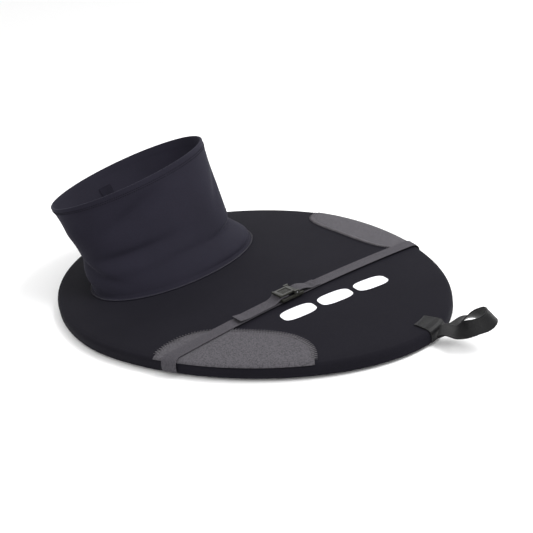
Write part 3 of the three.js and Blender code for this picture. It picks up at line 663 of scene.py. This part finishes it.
def lever_ridges():
    """Grip ridges across the lever's recessed pad and its raised lip."""
    across = np.linspace(-RIDGE_HALF, RIDGE_HALF, RIDGE_POINTS)
    lines = [buckle_place(across, y, LEVER_TOP - RECESS_DEPTH + RIDGE_SINK)
             for y in np.arange(PAD_STARBOARD, PAD_PORT, RIDGE_PITCH)]
    lines += [buckle_place(across * LIP_WIDER, LIP + LIP_RIDGE_IN + step, LEVER_TOP + LIP_RISE)
              for step in (0, LIP_RIDGE_PITCH)]
    return tubes("lever_ridges", lines, RIDGE_RADIUS, RIDGE_SIDES)


# ---- Grab loop -----------------------------------------------------------------------------------
LOOP_RUN = (-0.0065, 0.060)  # each side starts behind the hinge, against the anchor
LOOP_PARTING, LOOP_TWIST = (0, 0.032), (0.018, 0.066)  # where the sides part, and where the band tips over
RUN_STATIONS, TIP_STATIONS = 46, 33
SELVEDGE_START, SELVEDGE = 0.86, 0.0003  # share of the half-width, and its extra thickness


def loop_stations():
    """Place, outward direction and tilt of the loop's band, from its starboard root round to port."""
    run = np.linspace(*LOOP_RUN, RUN_STATIONS)
    side = LOOP_OFFSET * smooth(run, *LOOP_PARTING)
    tilt = LOOP_TILT * smooth(run, *LOOP_TWIST)
    angle = np.linspace(-math.pi / 2, math.pi / 2, TIP_STATIONS)
    nought, one = np.zeros(RUN_STATIONS), np.ones(RUN_STATIONS)
    x = np.r_[run, LOOP_STRAIGHT + LOOP_OFFSET * np.cos(angle), run[::-1]]
    y = np.r_[-side, LOOP_OFFSET * np.sin(angle), side[::-1]]
    out_x = np.r_[nought, np.cos(angle), nought]
    out_y = np.r_[-one, np.sin(angle), one]
    return x, y, out_x, out_y, np.r_[tilt, np.full(TIP_STATIONS, LOOP_TILT), tilt[::-1]]


def bow_loop():
    """The band of webbing through the stations, turned to the loop's attitude at the bow."""
    x, y, out_x, out_y, tilt = (row[:, None] for row in loop_stations())
    edge = np.linspace(-0.5, 0.5, WEB_POINTS) * (LOOP_WIDTH - WEB)
    inward = edge * np.cos(tilt)
    lift = LOOP_LIFT * np.cos(math.pi * np.arange(len(x)) / (len(x) - 1))[:, None]
    local = points(x - out_x * inward, y - out_y * inward, lift + edge * np.sin(tilt))
    attitude = (Matrix.Rotation(LOOP_YAW, 3, "Z") @ Matrix.Rotation(-LOOP_PITCH, 3, "Y")
                @ Matrix.Rotation(LOOP_ROLL, 3, "X"))
    placed = local @ np.array(attitude).T + (BOW_REACH + LOOP_HINGE, LOOP_ASIDE, LOOP_HEIGHT)
    thick = ribbed(WEB) + SELVEDGE * (np.abs(np.linspace(-1, 1, WEB_POINTS)) > SELVEDGE_START)
    return cloth("bow_loop", placed, thick[None, :], rounds=2)


# ---- Deck graphic: three plain tapered bars ------------------------------------------------------
BARS_X, BARS_Y, BARS_ANGLE, BARS_PITCH = 0.262, 0.004, 0.27, 0.070
BAR_LENGTH, BAR_WIDTH, BAR_TIP, BAR_FILM, BAR_POWER = 0.060, 0.034, 0.003, 0.0004, 3
BAR_STEPS, BAR_POINTS = 48, 21


def print_bar(order):
    share, belly = (part[:, None] for part in rounded_ends(BAR_STEPS, BAR_POWER))
    distance = order * BARS_PITCH + BAR_LENGTH * (share - 0.5)
    aside = np.linspace(-0.5, 0.5, BAR_POINTS)[None, :] * mix(BAR_TIP, BAR_WIDTH, belly)
    x = BARS_X + distance * math.sin(BARS_ANGLE) + aside * math.cos(BARS_ANGLE)
    y = BARS_Y + distance * math.cos(BARS_ANGLE) - aside * math.sin(BARS_ANGLE)
    return cloth(f"deck_bar_{order + 2}", on_deck(x, y, TOUCH + BAR_FILM / 2), BAR_FILM)


# ---- Materials -----------------------------------------------------------------------------------
class Shader:
    """A Principled material with short calls for its texture nodes.

    A noise or cell texture has about as many features to a metre as its scale says.
    """

    def __init__(self, name, roughness, specular, metallic=0.0):
        self.material = bpy.data.materials.new(name)
        self.material.use_nodes = True
        self.nodes = self.material.node_tree.nodes
        self.links = self.material.node_tree.links
        self.surface = self.nodes["Principled BSDF"]
        self.surface.inputs["Roughness"].default_value = roughness
        self.surface.inputs["Specular IOR Level"].default_value = specular
        self.surface.inputs["Metallic"].default_value = metallic
        self.place = self.nodes.new("ShaderNodeTexCoord")

    def node(self, kind, inputs, **settings):
        made = self.nodes.new("ShaderNode" + kind)
        for key, value in settings.items():
            setattr(made, key, value)
        for key, value in inputs.items():
            if isinstance(value, bpy.types.NodeSocket):
                self.links.new(value, made.inputs[key])
            else:
                made.inputs[key].default_value = value
        return made

    def noise(self, scale, detail=2.0):
        inputs = {"Vector": self.place.outputs["Object"], "Scale": scale, "Detail": detail}
        return self.node("TexNoise", inputs).outputs["Fac"]

    def cells(self, scale):
        inputs = {"Vector": self.place.outputs["Object"], "Scale": scale}
        return self.node("TexVoronoi", inputs).outputs["Distance"]

    def bands(self, scale, direction):
        inputs = {"Vector": self.place.outputs["UV"], "Scale": scale, "Distortion": 0.4, "Detail": 1.0}
        return self.node("TexWave", inputs, bands_direction=direction).outputs["Fac"]

    def maths(self, operation, first, second):
        return self.node("Math", {0: first, 1: second}, operation=operation).outputs[0]

    def weighted(self, first, first_share, second, second_share):
        return self.maths("ADD", self.maths("MULTIPLY", first, first_share),
                          self.maths("MULTIPLY", second, second_share))

    def colour(self, fac, dark, light, low=0.3, high=0.7):
        ramp = self.node("ValToRGB", {"Fac": fac})
        for element, place, value in zip(ramp.color_ramp.elements, (low, high), (dark, light)):
            element.position = place
            element.color = (*value, 1)
        self.links.new(ramp.outputs["Color"], self.surface.inputs["Base Color"])

    def rough(self, fac, low, high):
        made = self.node("MapRange", {"Value": fac, "To Min": low, "To Max": high})
        self.links.new(made.outputs["Result"], self.surface.inputs["Roughness"])

    def bump(self, height, distance, strength):
        made = self.node("Bump", {"Height": height, "Distance": distance, "Strength": strength})
        self.links.new(made.outputs["Normal"], self.surface.inputs["Normal"])

    def sheen(self, weight, tint, roughness=0.5):
        self.surface.inputs["Sheen Weight"].default_value = weight
        self.surface.inputs["Sheen Tint"].default_value = (*tint, 1)
        self.surface.inputs["Sheen Roughness"].default_value = roughness


def jersey(name, dark, light, sheen, specular):
    """Knitted nylon over neoprene: fine loops, slight tone changes and a soft sheen."""
    shader = Shader(name, 0.8, specular)
    mottle, yarn = shader.noise(9), shader.noise(700)
    shader.colour(shader.weighted(mottle, 0.55, yarn, 0.45), dark, light, 0.35, 0.65)
    shader.rough(shader.noise(420), 0.72, 0.9)
    loops = shader.maths("ADD", shader.cells(1050), shader.noise(300))
    shader.bump(loops, distance=0.00025, strength=0.5)
    shader.sheen(sheen, tint=(0.72, 0.74, 1.0))
    return shader.material


def patch_weave(name, dark, light):
    """Coarse abrasion cloth: a grain of light and dark yarns."""
    shader = Shader(name, 0.92, specular=0.2)
    grain = shader.weighted(shader.cells(480), 0.7, shader.noise(260, 3.0), 0.55)
    shader.colour(grain, dark, light, 0.32, 0.72)
    shader.bump(grain, distance=0.0005, strength=0.8)
    shader.sheen(0.03, tint=(1, 1, 1))
    return shader.material


WEB_RIB, WEB_PICK = 0.00245, 0.0011  # spacing of the ribs and picks
WAVE_UNIT = math.pi / 10  # a wave texture at scale 1 turns 20 radians to a unit


def web_weave(name, dark, light, roughness, specular):
    """Flat webbing: ribs along it and fine picks across it, in the sheet's own coordinates."""
    shader = Shader(name, roughness, specular)
    ribs, picks = shader.bands(WAVE_UNIT / WEB_RIB, "X"), shader.bands(WAVE_UNIT / WEB_PICK, "Y")
    weave = shader.weighted(ribs, 0.5, picks, 0.5)
    shader.colour(shader.weighted(weave, 0.6, shader.noise(480), 0.55), dark, light, 0.25, 0.75)
    shader.rough(weave, roughness + 0.1, roughness - 0.08)
    shader.bump(weave, distance=0.0004, strength=0.6)
    shader.sheen(0.01, tint=(0.9, 0.9, 1))
    return shader.material


def plain(name, dark, light, roughness, grain, depth, metallic=0.0, specular=0.5):
    """Moulded, printed or drawn stock: slight tone and gloss changes over a fine grain."""
    shader = Shader(name, roughness[0], specular, metallic)
    shader.colour(shader.noise(60, 4.0), dark, light)
    shader.rough(shader.noise(240, 3.0), *roughness)
    shader.bump(shader.noise(grain, 3.0), depth, strength=0.5)
    return shader.material


MATERIALS = {
    # The deck's colours are darker than the tunnel's, though both are one neoprene: painted shade on the
    # deck's top, where the key light falls most.
    "deck_neoprene": jersey("deck_neoprene_painted_shade_look", dark=(0.0068, 0.0063, 0.0092),
                            light=(0.0086, 0.0080, 0.0116), sheen=0.010, specular=0.06),
    "tunnel_neoprene": jersey("tunnel_neoprene_look", dark=(0.0096, 0.0087, 0.0150),
                              light=(0.0132, 0.0120, 0.0203), sheen=0.04, specular=0.10),
    "patch_fabric": patch_weave("patch_fabric_look", dark=(0.029, 0.0275, 0.031),
                                light=(0.078, 0.0735, 0.083)),
    "grey_webbing": web_weave("grey_webbing_look", dark=(0.014, 0.0132, 0.0155),
                              light=(0.080, 0.075, 0.086), roughness=0.8, specular=0.15),
    "black_webbing": web_weave("black_webbing_look", dark=(0.0012, 0.0012, 0.0015),
                               light=(0.0048, 0.0048, 0.0056), roughness=0.32, specular=0.19),
    "shock_cord": web_weave("shock_cord_look", dark=(0.010, 0.010, 0.012),
                            light=(0.034, 0.034, 0.038), roughness=0.7, specular=0.2),
    "seam_tape": plain("seam_tape_look", dark=(0.008, 0.0074, 0.0125), light=(0.0115, 0.0105, 0.0175),
                       roughness=(0.7, 0.85), grain=900, depth=0.0001, specular=0.06),
    "grip_rubber": plain("grip_rubber_look", dark=(0.006, 0.006, 0.007), light=(0.010, 0.010, 0.011),
                         roughness=(0.5, 0.7), grain=700, depth=0.0001, specular=0.12),
    "buckle_plastic": plain("buckle_plastic_look", dark=(0.013, 0.013, 0.0105), light=(0.021, 0.021, 0.017),
                            roughness=(0.34, 0.5), grain=1500, depth=0.00006, specular=0.35),
    "spring_steel": plain("spring_steel_look", dark=(0.48, 0.48, 0.49), light=(0.62, 0.62, 0.63),
                          roughness=(0.25, 0.4), grain=1200, depth=0.00002, metallic=1.0),
    "deck_print": plain("deck_print_look", dark=(0.80, 0.80, 0.84), light=(0.88, 0.88, 0.92),
                        roughness=(0.45, 0.6), grain=800, depth=0.00008),
}
THREAD_GREY = plain("thread_grey_look", dark=(0.100, 0.095, 0.105), light=(0.16, 0.15, 0.165),
                    roughness=(0.6, 0.8), grain=1800, depth=0.0001)
THREAD_BLACK = plain("thread_black_look", dark=(0.0025, 0.0025, 0.003), light=(0.004, 0.004, 0.005),
                     roughness=(0.8, 0.9), grain=1800, depth=0.0001, specular=0.03)
THREAD_DARK = plain("thread_dark_look", dark=(0.030, 0.029, 0.036), light=(0.050, 0.048, 0.058),
                    roughness=(0.5, 0.7), grain=1800, depth=0.0001)


def coat(piece, material):
    piece.data.materials.clear()
    piece.data.materials.append(material)


def wear(piece, slot, material=None):
    """Gives a piece the slot's own look, or another material if one is named."""
    coat(piece, material or MATERIALS[slot])
    return piece


def set_on(piece, body, slot, nodes=(), material=None):
    """Gives a piece its look and its body, and names the CAD nodes that it replaces."""
    wear(piece, slot, material)
    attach(piece, body)
    if nodes:
        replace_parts(piece, *nodes)


# ---- Everything in its place ---------------------------------------------------------------------
deck = deck_skin()
set_on(deck, "deck", "deck_neoprene", ["deck_panel"])
set_on(rim_roll(), "deck", "deck_neoprene", ["rim_sleeve"])
set_on(rim_elastic(), "deck", "shock_cord", ["rim_cord"])
set_on(grip_band(), "deck", "grip_rubber", ["grip_strip"])

for node, flat, area in (("abrasion_patch_starboard", (0.110, 0.262), 0.0222),
                         ("abrasion_patch_port", (0.080, 0.290), 0.0172)):
    patch, thread = abrasion_patch(node), patch_overlock(node)
    set_on(patch, "deck", "patch_fabric", [node])
    set_on(thread, "deck", "patch_fabric", material=THREAD_GREY)
set_on(anchor_patch(), "deck", "black_webbing", ["loop_anchor_patch"])
set_on(anchor_stitching(), "deck", "black_webbing", material=THREAD_DARK)

tunnel = wear(tunnel_sheet(), "tunnel_neoprene")
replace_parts(tunnel, "tunnel_flare", "tunnel_tube", "tunnel_top_hem")
base_tape, back_tape = tunnel_tapes()
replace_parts(wear(base_tape, "seam_tape"), "tunnel_base_tape")
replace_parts(wear(back_tape, "seam_tape"), "tunnel_back_tape")
for piece in (tunnel, base_tape, back_tape):
    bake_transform(piece)
hem_thread = hem_stitching()
set_on(hem_thread, "tunnel", "tunnel_neoprene", material=THREAD_BLACK)
set_on(base_seam(), "deck", "tunnel_neoprene", material=THREAD_DARK)

far_strap = webbing("far_strap", side=1, path=far_path(), over_rim=True)
set_on(far_strap, "deck", "grey_webbing", ["strap_port"])
near_strap = webbing("near_strap", side=-1, path=NEAR_PATH, over_rim=True)
set_on(near_strap, "deck", "grey_webbing", ["strap_starboard"])
set_on(fold_stitching(), "deck", "grey_webbing", material=THREAD_DARK)
tail = webbing("tail_webbing", side=-1, path=TAIL_PATH, over_rim=False)
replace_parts(wear(tail, "grey_webbing"), "strap_tail")
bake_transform(tail)

buckle_body = rounded_copy("buckle_frame", "buckle_body", radius=0.0007)
set_on(buckle_body, "deck", "buckle_plastic", ["buckle_frame"])
buckle_lever = rounded_copy("cam_lever", "buckle_lever", radius=0.0005)
set_on(buckle_lever, "lever", "buckle_plastic", ["cam_lever"])
set_on(lever_ridges(), "lever", "buckle_plastic")
for node in ("lever_pin", "lever_spring"):
    coat(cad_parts[node], MATERIALS["spring_steel"])

set_on(bow_loop(), "loop", "black_webbing", ["grab_loop"])
for order in (-1, 0, 1):
    set_on(print_bar(order), "deck", "deck_print", [f"print_bar_{order + 2}"])

# ---- Floor, light and camera ---------------------------------------------------------------------
floor_material = bpy.data.materials.new("pale_floor")
floor_material.use_nodes = True
floor_surface = floor_material.node_tree.nodes["Principled BSDF"]
floor_surface.inputs["Base Color"].default_value = (0.96, 0.96, 0.96, 1)
floor_surface.inputs["Roughness"].default_value = 0.9
bpy.ops.mesh.primitive_plane_add(size=30)
floor = bpy.context.object
floor.name = "studio_floor"
floor.data.materials.append(floor_material)


def soft_light(name, place, aim, size, power):
    lamp = bpy.data.lights.new(name, "AREA")
    lamp.shape, lamp.size, lamp.energy = "SQUARE", size, power
    made = bpy.data.objects.new(name, lamp)
    made.location = place
    made.rotation_euler = (Vector(aim) - Vector(place)).to_track_quat("-Z", "Y").to_euler()
    bpy.context.scene.collection.objects.link(made)


soft_light("key", place=(1.3, 1.3, 2.2), aim=(0, 0, 0), size=1.6, power=70)
soft_light("fill", place=(1.8, -2.2, 1.6), aim=(0, 0, 0.05), size=2.4, power=8)
soft_light("back", place=(-2.0, 1.4, 1.8), aim=(0, 0, 0.1), size=1.8, power=12)

scene = bpy.context.scene
world = bpy.data.worlds.new("studio")
world.use_nodes = True
world.node_tree.nodes["Background"].inputs["Color"].default_value = (1, 1, 1, 1)
world.node_tree.nodes["Background"].inputs["Strength"].default_value = 1.0
scene.world = world
scene.view_settings.view_transform = "Standard"

AZIMUTH, ELEVATION, ROLL = math.radians(49.8), math.radians(23.5), math.radians(-10.2)
LENS, SENSOR_WIDTH, CAMERA_PLACE = 60.79, 36, (1.198, -0.919, 0.676)
back = Vector((math.sin(AZIMUTH) * math.cos(ELEVATION), -math.cos(AZIMUTH) * math.cos(ELEVATION),
               math.sin(ELEVATION)))
level = Vector((math.cos(AZIMUTH), math.sin(AZIMUTH), 0))
upright = back.cross(level)
right = math.cos(ROLL) * level + math.sin(ROLL) * upright
up = -math.sin(ROLL) * level + math.cos(ROLL) * upright
camera = bpy.data.objects.new("camera", bpy.data.cameras.new("camera"))
scene.collection.objects.link(camera)
camera.data.lens, camera.data.sensor_width = LENS, SENSOR_WIDTH
camera.matrix_world = Matrix.Translation(Vector(CAMERA_PLACE) - Vector((SHIFT, 0, 0))) @ Matrix(
    (right, up, back)).transposed().to_4x4()
scene.camera = camera
